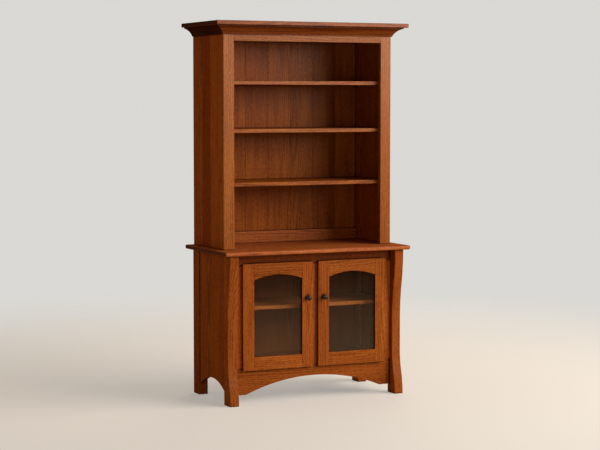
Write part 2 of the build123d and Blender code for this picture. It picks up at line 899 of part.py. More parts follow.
def make_door_glass(word, side):
    inner = latch_stile_inner - glass_rabbet_width
    outer = hinge_stile_inner + glass_rabbet_width
    with BuildPart() as pane:
        block(
            mirrored(side, inner + glass_clearance, outer - glass_clearance),
            (glass_front, glass_back),
            (rabbet_bottom + glass_clearance, rabbet_top - glass_clearance),
        )
    save(pane, f"{word}_door_glass")

    with BuildPart() as stops:
        for across in ((inner, latch_stile_inner), (hinge_stile_inner, outer)):
            block(mirrored(side, *across), (glass_back, door_back), (rabbet_bottom, rabbet_top))
        between = mirrored(side, latch_stile_inner + joint_slack, hinge_stile_inner - joint_slack)
        for level in ((rabbet_bottom, sight_bottom), (sight_top, rabbet_top)):
            block(between, (glass_back, door_back), level)
    save(stops, f"{word}_door_glass_stops")


def make_knob(word, side):
    centre = (side * knob_x, door_front, knob_z)
    rim_start = knob_projection - 2 * knob_rim_height
    with BuildPart() as knob:
        with BuildSketch(Plane(origin=centre, x_dir=(1, 0, 0), z_dir=(0, 0, -1))):
            with BuildLine():
                Polyline((0, 0), (knob_base_radius, 0), (knob_base_radius, knob_base_height))
                ThreePointArc(
                    (knob_base_radius, knob_base_height),
                    (knob_neck_radius, (knob_base_height + rim_start) / 2),
                    (knob_base_radius, rim_start),
                )
                Line((knob_base_radius, rim_start), (knob_radius - knob_rim_height / 2, rim_start))
                ThreePointArc(
                    (knob_radius - knob_rim_height / 2, rim_start),
                    (knob_radius, rim_start + knob_rim_height / 2),
                    (knob_radius - knob_rim_height / 2, rim_start + knob_rim_height),
                )
                TangentArc(
                    (0, knob_projection),
                    (knob_radius - knob_rim_height / 2, rim_start + knob_rim_height),
                    tangent=(1, 0),
                )
                Line((0, knob_projection), (0, 0))
            make_face()
        revolve(axis=Axis(origin=centre, direction=FORWARD))
        rod(centre, FORWARD, knob_screw_radius + screw_clearance, knob_screw_bite, Mode.SUBTRACT)
    save(knob, f"{word}_door_knob")


def make_door_hardware(word, side):
    with BuildPart() as strike:
        block(
            mirrored(side, catch_from_centre - strike_width / 2, catch_from_centre + strike_width / 2),
            (door_back, door_back + strike_thickness),
            (catch_middle - strike_height / 2, catch_middle + strike_height / 2),
        )
        strike_screw = (side * catch_from_centre, door_back + strike_thickness, catch_middle)
        screw_hole(strike_screw, FORWARD)
    save(strike, f"{word}_door_strike_plate")

    with BuildPart() as leaves:
        for end in (-1, 1):
            leaf, arm = hinge_levels(end)[1:3]
            block(
                mirrored(side, hinge_leaf_inner, hinge_pin_x + hinge_arm_half_width),
                (hinge_pin_y - hinge_arm_half_width, hinge_pin_y + hinge_arm_half_width),
                leaf,
            )
            pin_length = abs(arm[1] - leaf[0])
            rod((side * hinge_pin_x, hinge_pin_y, leaf[0]), (0, 0, end), hinge_pin_radius, pin_length)
            for head in hinge_leaf_screws(side, end):
                screw_hole(head, (0, 0, -end))
    save(leaves, f"{word}_door_hinge_leaves")

    with BuildPart() as screws:
        screw(strike_screw, FORWARD)
        for end in (-1, 1):
            for head in hinge_leaf_screws(side, end):
                screw(head, (0, 0, -end))
        knob_screw_start = (side * knob_x, door_back, knob_z)
        knob_screw_length = door_thickness + knob_screw_bite - joint_slack
        rod(knob_screw_start, FORWARD, knob_screw_radius, knob_screw_length)
        rod(knob_screw_start, BACKWARD, knob_screw_head_radius, knob_screw_head_height)
    save(screws, f"{word}_door_screws")


# Hardware on the case

def make_hinge_frame_leaves():
    """Each leaf is a flange let into the face frame and an arm that reaches forward to the pin."""
    with BuildPart() as leaves:
        for side in SIDES.values():
            for end in (-1, 1):
                arm, flange = hinge_levels(end)[2:]
                flange_span = mirrored(side, hinge_flange_inner, hinge_flange_outer)
                block(flange_span, (frame_front, frame_front + hinge_plate_thickness), flange)
                arm_span = mirrored(side, hinge_pin_x - hinge_arm_half_width, hinge_flange_outer)
                block(arm_span, (hinge_pin_y, frame_front), arm)
                pin_foot = (side * hinge_pin_x, hinge_pin_y, arm[0])
                rod(pin_foot, (0, 0, end), hinge_arm_half_width, hinge_plate_thickness)
                hole_radius = hinge_pin_radius + hinge_pin_clearance
                rod(pin_foot, (0, 0, end), hole_radius, hinge_plate_thickness, Mode.SUBTRACT)
            for head in hinge_flange_screws(side):
                screw_hole(head, BACKWARD)
    save(leaves, "hinge_frame_leaves")


def make_catches():
    with BuildPart() as catches:
        for side in SIDES.values():
            block(
                mirrored(side, catch_from_centre - catch_width / 2, catch_from_centre + catch_width / 2),
                (catch_front, catch_front + catch_depth),
                (opening_top - catch_height, opening_top),
            )
        fillet(catches.edges().filter_by(Axis.Y).group_by(Axis.Z)[0], catch_edge_radius)
        for side in SIDES.values():
            for head in catch_screws(side):
                screw_hole(head, UP, screw_length + catch_height / 2)
    save(catches, "magnetic_catches")

    with BuildPart() as bumpers:
        for side in SIDES.values():
            for height in bumper_heights:
                rod((side * bumper_x, frame_front, height), FORWARD, bumper_radius, bumper_thickness)
    save(bumpers, "door_bumpers")


def make_fasteners():
    with BuildPart() as pins:
        shelves = [(side_inner, base_shelf_front, base_shelf_back, base_shelf_height)]
        for height in hutch_shelf_heights.values():
            shelves.append((hutch_inner, hutch_shelf_front, hutch_shelf_back, height))
        for inner_face, front, back, top in shelves:
            for side in SIDES.values():
                for y in shelf_pin_places(front, back):
                    start = (side * (inner_face - pin_reach), y, top - board_thickness - pin_radius)
                    rod(start, (side, 0, 0), pin_radius, pin_reach + pin_depth)
    save(pins, "shelf_pins")

    with BuildPart() as dowels:
        for side in SIDES.values():
            for x, y in dowel_places(side):
                rod((x, y, counter_height - dowel_in_counter), UP, dowel_radius, dowel_length)
    save(dowels, "hutch_locating_dowels")

    with BuildPart() as plates:
        for side in SIDES.values():
            tie_plate(side)
            for head in tie_screws(side):
                screw_hole(head, FORWARD)
    save(plates, "hutch_tie_plates")

    with BuildPart() as screws:
        for side in SIDES.values():
            for head in cleat_screws(side):
                screw(head, UP, long_screw_length)
            for head in tie_screws(side):
                screw(head, FORWARD)
            for head in hinge_flange_screws(side):
                screw(head, BACKWARD)
            for head in catch_screws(side):
                screw(head, UP, screw_length + catch_height / 2)
    save(screws, "carcass_screws")


for side_word, side_sign in SIDES.items():
    make_front_leg(side_word, side_sign)
    make_rear_leg(side_word, side_sign)
    make_base_side(side_word, side_sign)
    make_hutch_side(side_word, side_sign)
    make_hutch_stile(side_word, side_sign)
    make_crown_side(side_word, side_sign)
    make_door_stiles(side_word, side_sign)
    make_door_rails(side_word, side_sign)
    make_door_glass(side_word, side_sign)
    make_knob(side_word, side_sign)
    make_door_hardware(side_word, side_sign)
make_base_top_rail()
make_apron()
make_base_stiles()
make_base_inside()
make_counter()
make_hutch_inside()
make_back_boards()
make_crown_front()
make_crown_top()
make_hinge_frame_leaves()
make_catches()
make_fasteners()
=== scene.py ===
"""Looks of the hutch bookcase: stained oak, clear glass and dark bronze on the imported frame."""

import math
import random

import bpy
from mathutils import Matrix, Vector


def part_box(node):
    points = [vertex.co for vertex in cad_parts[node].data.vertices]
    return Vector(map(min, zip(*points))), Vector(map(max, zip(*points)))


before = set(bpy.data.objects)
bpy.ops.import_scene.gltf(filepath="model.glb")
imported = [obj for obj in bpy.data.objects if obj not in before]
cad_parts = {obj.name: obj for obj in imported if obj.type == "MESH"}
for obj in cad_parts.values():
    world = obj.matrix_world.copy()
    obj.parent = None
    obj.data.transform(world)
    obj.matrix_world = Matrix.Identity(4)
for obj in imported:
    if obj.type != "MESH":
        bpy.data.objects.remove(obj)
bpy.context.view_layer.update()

# Photograph's view: the frame in pixels, the sensor in millimetres, places in metres, angles in degrees.
PHOTO_WIDTH = 600
FOCAL_PIXELS = 1716.08
SENSOR_WIDTH = 36.0
CAMERA_PLACE = (-3.7132, -7.9265, 1.5124)
CAMERA_TURN = 25.175
CAMERA_DIP = 4.228

# Floor: a disc that fades into the background. Its glow is what keeps it pale to the camera.
FLOOR_RADIUS = 5.0
FLOOR_SOLID_RADIUS = 1.4
FLOOR_SIDES = 96
FLOOR_COLOUR = (0.62, 0.57, 0.50, 1)
FLOOR_SPECK_COLOUR = (0.6448, 0.5928, 0.52, 1)
FLOOR_SPECK_STOPS = [(0.35, FLOOR_COLOUR), (0.65, FLOOR_SPECK_COLOUR)]
FLOOR_SPECKS = (240, 3.0)
FLOOR_ROUGHNESS = 0.9
FLOOR_SPECULAR = 0.1
FLOOR_GLOW = (0.29, 0.29, 0.28, 1)
BACKGROUND_COLOUR = (0.70, 0.69, 0.66, 1)
BACKGROUND_STRENGTH = 1.0
AMBIENT_COLOUR = (1.0, 0.78, 0.58, 1)
AMBIENT_STRENGTH = 0.20

# Lamps: place, aim, width and height of the source in metres, power in watts and colour.
LAMPS = {
    "key": {"place": (4.00, -3.05, 2.75), "aim": (0, 0, 4.5), "size": (6.4, 2.4), "power": 512,
            "colour": (1.0, 0.95, 0.88)},
    "fill": {"place": (-1.6, -5.9, 1.3), "aim": (0, 0, 1.0), "size": (2.4, 1.8), "power": 25,
             "colour": (1.0, 0.90, 0.74)},
    "side": {"place": (-3.3, 1.2, 1.6), "aim": (-0.4, 0, 0.9), "size": (1.6, 1.6), "power": 10,
             "colour": (1.0, 0.80, 0.62)},
    "back": {"place": (3.0, 4.6, 2.4), "aim": (0, 0, 1.0), "size": (3.0, 2.0), "power": 70,
             "colour": (1.0, 0.93, 0.84)},
}

# Stained oak, from the palest summer growth to the darkest pores, and the figure at which each shows.
OAK_PALE = (0.40, 0.108, 0.0160, 1)
OAK_MID = (0.31, 0.073, 0.0090, 1)
OAK_DEEP = (0.21, 0.044, 0.0050, 1)
OAK_DARK = (0.085, 0.014, 0.002, 1)
OAK_END = (0.045, 0.008, 0.0012, 1)
FIGURE_STOPS = [(0.42, OAK_PALE), (0.54, OAK_MID), (0.64, OAK_DEEP), (0.81, OAK_DARK)]
FIGURE_SHIFT = -0.0435

# Growth rings, in metres. A pith beside the board and a stretch of the log are drawn for each node.
RING_SPACING = 0.0065
RING_WANDER = 0.060
RING_STOPS = [(0.0, 0.35), (0.10, 1.0), (0.30, 0.75), (0.60, 0.15), (1.0, 0.25)]
PITH_ANGLES = (0.5, 1.2)
PITH_REACHES = (0.07, 0.14)
LOG_SHIFTS = (1, 40)
BOARD_SHIFT = 97.0

# Layers of the grain: cells for each metre across and along the fibres, detail and roughness.
WANDER = (3.0, 1.1, 2.0, 0.5)
STREAKS = (90, 2.6, 3.0, 0.55)
FLECKS = (230, 60.0, 2.0, 0.5)
FIBRES = (320, 9.0, 4.0, 0.62)
PORES = (800, 30, 2.0, 0.5)
BLOTCHES = (24, 3.2, 3.0, 0.5)

# How far each layer darkens the figure. The mottle is the weight of the blotches.
RING_WEIGHT = 0.13
STREAK_WEIGHT = 0.20
FLECK_WEIGHT = 0.44
FIBRE_WEIGHT = 0.26
PLAIN_MOTTLE = 0.16
DOOR_MOTTLE = 0.30
BACK_MOTTLE = 0.30

# Pores, end grain and pale edges, partly rubbed wear and partly painted highlight. An edge's turn is the
# cosine where the paling starts and is full.
PORE_RANGE = (0.56, 0.66)
PORE_SHADE = 0.6
END_GRAIN_SHARPNESS = 2.0
END_GRAIN_SHADE = 0.85
EDGE_RADIUS = 0.0016
EDGE_SAMPLES = 4
EDGE_TURN = (0.995, 0.80)
EDGE_WEAR_AND_HIGHLIGHT = 0.2

# Painted shade in corners and joints, from ambient occlusion: how far round a point counts, and the
# openness where it starts and is deepest.
CORNER_SHADE_REACH = 0.015
CORNER_SHADE_SAMPLES = 8
CORNER_SHADE_DEPTH = 0.92
CORNER_SHADE_COLOUR = (0.030, 0.006, 0.001, 1)
PLAIN_CORNER_SHADE = (0.74, 0.52)
RAIL_CORNER_SHADE = (0.80, 0.68)
FAINT_CORNER_SHADE = (0.40, 0.20)
DOOR_EDGE_SHADE = (0.97, 0.84)

# Lacquer: gloss where it is seen square on, how that falls off at a slant, roughness and relief.
PLAIN_SHINE = 0.10
HUTCH_SHINE = 0.28
TOP_RAIL_SHINE = 0.20
BACK_SHINE = 0.09
COUNTER_SHINE = 0.3
GLOSS_BLEND = 0.5
GLOSS_FALL = 5.0
PLAIN_ROUGHNESS = 0.30
COUNTER_ROUGHNESS = 0.25
OAK_WEAR = (-0.05, 0.07)
PORE_RELIEF = -0.8
FIBRE_RELIEF = 0.5

# Bumps: strength, and height in metres.
OAK_BUMP = (0.20, 0.0006)
BARE_BUMP = (0.2, 0.0005)
METAL_BUMP = (0.08, 0.0003)
MOULDED_BUMP = (0.15, 0.0002)

# Noise: the range that most of it lies in, and its usual roughness.
NOISE_RANGE = (0.3, 0.7)
NOISE_ROUGHNESS = 0.5

# Members tinted on their red, green and blue: partly their own stain, partly painted light and shade.
# Painted shade: base top rail and crown. Painted light: base stiles and shelf. Painted sheen: counter,
# hutch stiles.
TONE_AND_PAINTED_LIGHT_TINTS = {
    "hutch_stile_left": (1.09, 1.25, 1.05, 1),
    "hutch_stile_right": (1.00, 1.14, 1.05, 1),
    "hutch_top_rail": (0.87, 1.00, 0.96, 1),
    "hutch_shelf_upper": (1.01, 1.15, 1.04, 1),
    "hutch_shelf_middle": (1.02, 1.17, 1.06, 1),
    "hutch_shelf_lower": (0.96, 1.09, 1.10, 1),
    "hutch_back_boards": (0.88, 0.97, 1.00, 1),
    "hutch_side_right": (1.00, 1.10, 1.10, 1),
    "base_back_panel": (0.58, 0.55, 0.62, 1),
    "base_top_rail": (0.64, 0.55, 0.45, 1),
    "base_stile_left": (1.58, 1.56, 1.85, 1),
    "base_stile_right": (1.52, 1.50, 1.70, 1),
    "base_centre_stile": (1.32, 1.34, 1.60, 1),
    "base_rear_leg_left": (0.86, 0.82, 0.80, 1),
    "base_shelf": (1.20, 1.60, 2.60, 1),
    "left_door_top_rail": (0.90, 0.90, 0.95, 1),
    "left_door_bottom_rail": (1.20, 1.27, 1.38, 1),
    "left_door_latch_stile": (1.06, 1.06, 1.28, 1),
    "right_door_latch_stile": (0.95, 0.94, 1.05, 1),
    "right_door_hinge_stile": (1.04, 1.12, 1.28, 1),
    "right_door_top_rail": (1.07, 1.20, 1.38, 1),
    "countertop": (1.05, 1.15, 2.10, 1),
    "crown_top_board": (0.74, 0.72, 0.60, 1),
    "crown_moulding_front": (0.52, 0.47, 0.55, 1),
    "crown_moulding_left": (0.15, 0.15, 0.10, 1),
    "crown_moulding_right": (0.15, 0.15, 0.10, 1),
}

# Members round the doors, where the painted corner shade is stronger or weaker than elsewhere.
CORNER_SHADE_BY_MEMBER = {
    "base_apron": RAIL_CORNER_SHADE,
    "base_top_rail": RAIL_CORNER_SHADE,
    "base_stile_left": FAINT_CORNER_SHADE,
    "base_centre_stile": FAINT_CORNER_SHADE,
    "base_stile_right": FAINT_CORNER_SHADE,
    "left_door_hinge_stile": DOOR_EDGE_SHADE,
    "left_door_latch_stile": DOOR_EDGE_SHADE,
    "right_door_hinge_stile": DOOR_EDGE_SHADE,
    "right_door_latch_stile": DOOR_EDGE_SHADE,
}

# Boards of a panel: the share of the width where each starts, its brightness and its redness.
HUTCH_SIDE_BOARDS = [(0, 1.16, 0.0), (0.39, 0.79, 0.20), (0.669, 0.98, 0.06)]
# The back boards' brightness is partly their own tone and partly painted shade, darker in the middle and
# lighter at the right.
HUTCH_BACK_TONES_AND_SHADE = [
    (0, 1.07, 0.036), (1 / 7, 1.03, 0.030), (2 / 7, 0.95, 0.077), (3 / 7, 0.95, 0.044),
    (4 / 7, 0.86, 0.010), (5 / 7, 0.78, 0.063), (6 / 7, 1.14, 0.032)]

# Panels of even boards: how many, and the ranges that their brightness and redness are drawn from.
LEVEL_PANEL_BOARDS = 4
HUTCH_SIDE_COUNT = 3
BASE_SIDE_COUNT = 4
BASE_BACK_COUNT = 5
COUNTER_COUNT = 5
PLAIN_TONES = (0.88, 1.08)
BASE_BACK_TONES = (0.97, 1.03)
COUNTER_TONES = (1.18, 1.28)
BOARD_REDNESS = (-0.04, 0.08)

# A ramp's colours end at 1, so it holds the boards' tones divided by this.
TONE_SCALE = 2.0

# Grain order: the coordinates across the board, through it and along it.
GRAIN_ORDER = {"x": ("Z", "Y", "X"), "y": ("Z", "X", "Y"), "z": ("X", "Y", "Z")}

# Bare hardwood, whose fibres run along X: cells for each metre, then detail and roughness.
BARE_CELLS = (9, 240, 240)
BARE_FIBRES = (4.0, 0.6)
BARE_STOPS = [(0.3, (0.52, 0.34, 0.19, 1)), (0.7, (0.35, 0.20, 0.10, 1))]
BARE_ROUGHNESS = (0.6, 0.75)

# Glass: the colours of a haze that is partly dust and partly a painted reflection, how much of the pane it
# hides at the bottom and the top, and its smears.
GLASS_DUST_AND_REFLECTION = (0.270, 0.188, 0.112, 1)
GLASS_DUST_AND_REFLECTION_PALE = (0.305, 0.218, 0.132, 1)
GLASS_DUST_AND_REFLECTION_STOPS = [(0.35, GLASS_DUST_AND_REFLECTION), (0.75, GLASS_DUST_AND_REFLECTION_PALE)]
GLASS_HAZE_LOW = 0.096
GLASS_HAZE_HIGH = 0.011
GLASS_SMEAR_CELLS = (30, 30, 9)
GLASS_SMEAR_DETAIL = 4.0
GLASS_SMEAR = (0.9, 1.1)
GLASS_ROUGHNESS = (0.05, 0.08)
GLASS_SPECULAR = 0.15

# Metals: dark and bright colours, roughness, and cells of the clouds for each metre.
BRONZE = ((0.012, 0.009, 0.007, 1), (0.060, 0.038, 0.025, 1), 0.36, 180)
STEEL = ((0.42, 0.41, 0.39, 1), (0.66, 0.65, 0.62, 1), 0.32, 120)
METAL_STOPS = (0.35, 0.70)
METAL_CLOUDS = (4.0, 0.6)
METAL_FINENESS = 12
METAL_FINE_DETAIL = 3.0
METAL_SHARE = 0.9
METAL_WEAR = (-0.06, 0.08)

# Moulded pieces: dark and pale colours and roughness, then cells for each metre and detail.
CATCH_PLASTIC = ((0.10, 0.05, 0.025, 1), (0.16, 0.085, 0.045, 1), 0.45)
BUMPER_RUBBER = ((0.62, 0.60, 0.56, 1), (0.74, 0.72, 0.68, 1), 0.55)
MOULDED_STOPS = (0.35, 0.65)
MOULDED_CLOUDS = (60, 3.0)
MOULDED_GRAIN = (1400, 2.0)
MOULDED_WEAR = (-0.05, 0.05)


class Graph:
    """Shader nodes of one material or world, added and linked by short calls."""

    def __init__(self, owner, output="OutputMaterial"):
        self.owner = owner
        owner.use_nodes = True
        self.tree = owner.node_tree
        self.tree.nodes.clear()
        self.output = self.add(output)

    def add(self, kind, inputs=None, **settings):
        node = self.tree.nodes.new("ShaderNode" + kind)
        for name, value in settings.items():
            setattr(node, name, value)
        for name, value in (inputs or {}).items():
            self.put(node.inputs[name], value)
        return node

    def put(self, socket, value):
        if isinstance(value, bpy.types.NodeSocket):
            self.tree.links.new(value, socket)
        else:
            socket.default_value = value

    def math(self, operation, first, second=0.0):
        return self.add("Math", {0: first, 1: second}, operation=operation).outputs[0]

    def multiply_add(self, value, factor, extra):
        node = self.add("Math", {0: value, 1: factor, 2: extra}, operation="MULTIPLY_ADD")
        return node.outputs[0]

    def stretch(self, place, factors):
        return self.add("VectorMath", {0: place, 1: factors}, operation="MULTIPLY").outputs[0]

    def length(self, place):
        return self.add("VectorMath", {0: place}, operation="LENGTH").outputs["Value"]

    def combine(self, x, y, z):
        return self.add("CombineXYZ", {"X": x, "Y": y, "Z": z}).outputs[0]

    def noise(self, place, scale, detail, roughness=NOISE_ROUGHNESS):
        settings = {"Vector": place, "Scale": scale, "Detail": detail, "Roughness": roughness}
        return self.add("TexNoise", settings).outputs["Fac"]

    def grain(self, place, layer):
        """Noise drawn out along the fibres."""
        across, along, detail, roughness = layer
        return self.noise(self.stretch(place, (across, across, along)), 1.0, detail, roughness)

    def spread(self, value, low, high, new_low=0.0, new_high=1.0):
        settings = {"Value": value, "From Min": low, "From Max": high,
                    "To Min": new_low, "To Max": new_high}
        return self.add("MapRange", settings).outputs["Result"]

    def wear(self, noise, middle, change):
        """Roughness that varies with a noise."""
        less, more = change
        return self.spread(noise, *NOISE_RANGE, middle + less, middle + more)

    def ramp(self, value, stops, interpolation="LINEAR"):
        node = self.add("ValToRGB", {"Fac": value})
        elements = node.color_ramp.elements
        node.color_ramp.interpolation = interpolation
        while len(elements) < len(stops):
            elements.new(1.0)
        for element, (position, colour) in zip(elements, stops):
            element.position = position
            element.color = colour
        return node.outputs["Color"]

    def mix(self, factor, first, second, blend="MIX"):
        node = self.add("Mix", data_type="RGBA", blend_type=blend)
        self.put(node.inputs["Factor"], factor)
        self.put(node.inputs["A"], first)
        self.put(node.inputs["B"], second)
        return node.outputs["Result"]

    def lean_towards(self, share, strength, colour, stain):
        """Colour that leans towards a second colour by a share of its strength: pore and end-grain stain,
        worn and highlighted edges, painted corner shade.
        """
        return self.mix(self.math("MULTIPLY", share, strength), colour, stain)

    def tint(self, colour, factors):
        return self.mix(1.0, colour, factors, "MULTIPLY")

    def bump(self, height, strength, distance, **inputs):
        settings = {"Strength": strength, "Distance": distance, "Height": height}
        return self.add("Bump", settings | inputs).outputs["Normal"]

    def looked_at(self):
        """1 for what the camera, mirrors and glass see, 0 for rays that only light."""
        path = self.add("LightPath").outputs
        mirror = self.math("MAXIMUM", path["Is Glossy Ray"], path["Is Transmission Ray"])
        return self.math("MAXIMUM", path["Is Camera Ray"], mirror)

    def surface(self, inputs):
        return self.finish(self.add("BsdfPrincipled", inputs))

    def finish(self, shader):
        self.tree.links.new(shader.outputs[0], self.output.inputs["Surface"])
        return self.owner


def new_material(name):
    return Graph(bpy.data.materials.new(name))


def grey(value):
    return (value, value, value, 1)


def board_tones(graph, share, boards):
    """Brightness and redness of each board, by the share of the panel's width."""
    stops = []
    for start, brightness, redness in boards:
        red = brightness / TONE_SCALE
        green = red * (1 - redness)
        stops.append((start, (red, green, green, 1)))
    return graph.ramp(share, stops, "CONSTANT")


def growth_rings(graph, across, through, wander, middle, draw):
    """Rings round a pith that wanders along the log, darkest where the spring growth starts."""
    pith_angle = draw.uniform(*PITH_ANGLES)
    pith_reach = draw.uniform(*PITH_REACHES)
    ring_across = graph.math("SUBTRACT", across, middle[0] + pith_reach * math.cos(pith_angle))
    ring_through = graph.math("SUBTRACT", through, middle[1] + pith_reach * math.sin(pith_angle))
    reach = graph.length(graph.combine(ring_across, ring_through, 0.0))
    radius = graph.multiply_add(wander, RING_WANDER, reach)
    phase = graph.math("FRACT", graph.math("DIVIDE", radius, RING_SPACING))
    return graph.ramp(phase, [(position, grey(shade)) for position, shade in RING_STOPS])


def stained_oak(name, grain, node, boards=(), board_axis=None, shine=PLAIN_SHINE,
                roughness=PLAIN_ROUGHNESS, mottle=PLAIN_MOTTLE):
    """Oak under a reddish-brown stain and satin lacquer.

    grain is the axis that the fibres follow. Where a panel is glued up or laid from several boards,
    boards has the share of the width where each one starts, along board_axis, its brightness and its
    redness. mottle is how strongly the stain has blotched.
    """
    draw = random.Random(node)
    graph = new_material(name)
    coordinates = graph.add("TexCoord").outputs
    place = graph.add("SeparateXYZ", {0: coordinates["Object"]}).outputs
    low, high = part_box(node)

    # Boards: one tone and one stretch of the log for each.
    along_shift = draw.uniform(*LOG_SHIFTS)
    tone = None
    if board_axis:
        index = "XYZ".index(board_axis)
        share = graph.spread(place[board_axis], low[index], high[index])
        tone = board_tones(graph, share, boards)
        along_shift = graph.math("MULTIPLY", tone, BOARD_SHIFT)

    # Rings, streaks, flecks, fibres, open pores in the spring growth, and broad changes of tone.
    across, through, along = (place[axis] for axis in GRAIN_ORDER[grain])
    fibre_place = graph.combine(across, through, graph.math("ADD", along, along_shift))
    order = ["XYZ".index(axis) for axis in GRAIN_ORDER[grain]]
    middle = [(low[i] + high[i]) / 2 for i in order]
    ring = growth_rings(graph, across, through, graph.grain(fibre_place, WANDER), middle, draw)
    streak = graph.grain(fibre_place, STREAKS)
    fleck = graph.grain(fibre_place, FLECKS)
    fibre = graph.grain(fibre_place, FIBRES)
    blotch = graph.grain(fibre_place, BLOTCHES)
    pore = graph.spread(graph.grain(fibre_place, PORES), *PORE_RANGE)
    pore = graph.math("MULTIPLY", pore, ring)

    # The figure adds up the layers. Its shift keeps the mean tone whatever the mottle.
    figure = graph.multiply_add(ring, RING_WEIGHT, FIGURE_SHIFT + (PLAIN_MOTTLE - mottle) / 2)
    layers = ((streak, STREAK_WEIGHT), (fleck, FLECK_WEIGHT), (fibre, FIBRE_WEIGHT), (blotch, mottle))
    for layer, weight in layers:
        figure = graph.multiply_add(layer, weight, figure)
    colour = graph.ramp(figure, FIGURE_STOPS)
    colour = graph.lean_towards(pore, PORE_SHADE, colour, OAK_DARK)
    if tone is not None:
        colour = graph.tint(colour, graph.tint(tone, grey(TONE_SCALE)))

    # End grain drinks more stain. Edges are paled, partly by rubbed wear, partly as a painted highlight.
    facing = graph.add("SeparateXYZ", {0: coordinates["Normal"]}).outputs[grain.upper()]
    end_grain = graph.math("POWER", graph.math("ABSOLUTE", facing), END_GRAIN_SHARPNESS)
    colour = graph.lean_towards(end_grain, END_GRAIN_SHADE, colour, OAK_END)
    rounded = graph.add("Bevel", {"Radius": EDGE_RADIUS}, samples=EDGE_SAMPLES).outputs["Normal"]
    sharp = graph.add("NewGeometry").outputs["Normal"]
    turn = graph.add("VectorMath", {0: rounded, 1: sharp}, operation="DOT_PRODUCT").outputs["Value"]
    colour = graph.lean_towards(graph.spread(turn, *EDGE_TURN), EDGE_WEAR_AND_HIGHLIGHT, colour, OAK_PALE)
    # Painted light and shade: some members are tinted darker or lighter than their stain.
    if node in TONE_AND_PAINTED_LIGHT_TINTS:
        colour = graph.tint(colour, TONE_AND_PAINTED_LIGHT_TINTS[node])

    # Painted shade: corners and joints are darkened by how enclosed they are.
    occlusion = graph.add("AmbientOcclusion", {"Distance": CORNER_SHADE_REACH}, samples=CORNER_SHADE_SAMPLES)
    corner_shade = graph.spread(occlusion.outputs["AO"], *CORNER_SHADE_BY_MEMBER.get(node, PLAIN_CORNER_SHADE))
    colour = graph.lean_towards(corner_shade, CORNER_SHADE_DEPTH, colour, CORNER_SHADE_COLOUR)

    relief = graph.multiply_add(pore, PORE_RELIEF, graph.math("MULTIPLY", fibre, FIBRE_RELIEF))
    slant = graph.add("LayerWeight", {"Blend": GLOSS_BLEND}).outputs["Facing"]
    square_on = graph.math("POWER", graph.math("SUBTRACT", 1.0, slant), GLOSS_FALL)
    return graph.surface({
        "Base Color": colour,
        "Roughness": graph.wear(fibre, roughness, OAK_WEAR),
        "Normal": graph.bump(relief, *OAK_BUMP, Normal=rounded),
        "Specular IOR Level": graph.math("MULTIPLY", square_on, shine)})


def bare_wood(name):
    """Unfinished hardwood of the hidden blocks and dowels."""
    graph = new_material(name)
    place = graph.add("TexCoord").outputs["Object"]
    fibre = graph.noise(graph.stretch(place, BARE_CELLS), 1.0, *BARE_FIBRES)
    return graph.surface({
        "Base Color": graph.ramp(fibre, BARE_STOPS),
        "Roughness": graph.spread(fibre, *NOISE_RANGE, *BARE_ROUGHNESS),
        "Normal": graph.bump(fibre, *BARE_BUMP)})


def clear_glass(name):
    """Clear float glass under a thin haze, partly dust and partly a painted reflection, which grows towards
    the bottom of the pane.
    """
    graph = new_material(name)
    place = graph.add("TexCoord").outputs["Object"]
    height = graph.add("SeparateXYZ", {0: place}).outputs["Z"]
    low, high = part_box("left_door_glass")
    # Painted reflection: the haze, partly dust, thickens towards the bottom of the pane.
    haze = graph.spread(height, low[2], high[2], GLASS_HAZE_LOW, GLASS_HAZE_HIGH)
    smear = graph.noise(graph.stretch(place, GLASS_SMEAR_CELLS), 1.0, GLASS_SMEAR_DETAIL)
    return graph.surface({
        "Base Color": graph.ramp(smear, GLASS_DUST_AND_REFLECTION_STOPS),
        "Roughness": graph.spread(smear, *NOISE_RANGE, *GLASS_ROUGHNESS),
        "Specular IOR Level": GLASS_SPECULAR,
        "Alpha": graph.math("MULTIPLY", haze, graph.spread(smear, *NOISE_RANGE, *GLASS_SMEAR))})


def worn_metal(name, dark, bright, roughness, cells):
    """Metal whose colour and polish vary with handling."""
    graph = new_material(name)
    place = graph.add("TexCoord").outputs["Object"]
    cloud = graph.noise(place, cells, *METAL_CLOUDS)
    fine = graph.noise(place, cells * METAL_FINENESS, METAL_FINE_DETAIL)
    return graph.surface({
        "Base Color": graph.ramp(cloud, list(zip(METAL_STOPS, (dark, bright)))),
        "Metallic": METAL_SHARE,
        "Roughness": graph.wear(fine, roughness, METAL_WEAR),
        "Normal": graph.bump(fine, *METAL_BUMP)})


def moulded(name, dark, pale, roughness):
    """Fine-grained moulded plastic or rubber."""
    graph = new_material(name)
    place = graph.add("TexCoord").outputs["Object"]
    cloud = graph.noise(place, *MOULDED_CLOUDS)
    grain = graph.noise(place, *MOULDED_GRAIN)
    return graph.surface({
        "Base Color": graph.ramp(cloud, list(zip(MOULDED_STOPS, (dark, pale)))),
        "Roughness": graph.wear(grain, roughness, MOULDED_WEAR),
        "Normal": graph.bump(grain, *MOULDED_BUMP)})


def dress(node, material):
    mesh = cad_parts[node].data
    mesh.materials.clear()
    mesh.materials.append(material)


def dress_oak(nodes, grain, **looks):
    for node in nodes:
        dress(node, stained_oak("oak_" + node, grain, node, **looks))


def dress_panel(node, grain, boards, board_axis, **looks):
    dress(node, stained_oak("oak_" + node, grain, node, boards, board_axis, **looks))


def even_boards(node, count, tones=PLAIN_TONES):
    """Boards of one width, each with its own brightness and redness."""
    draw = random.Random(node + " boards")
    return [(i / count, draw.uniform(*tones), draw.uniform(*BOARD_REDNESS)) for i in range(count)]


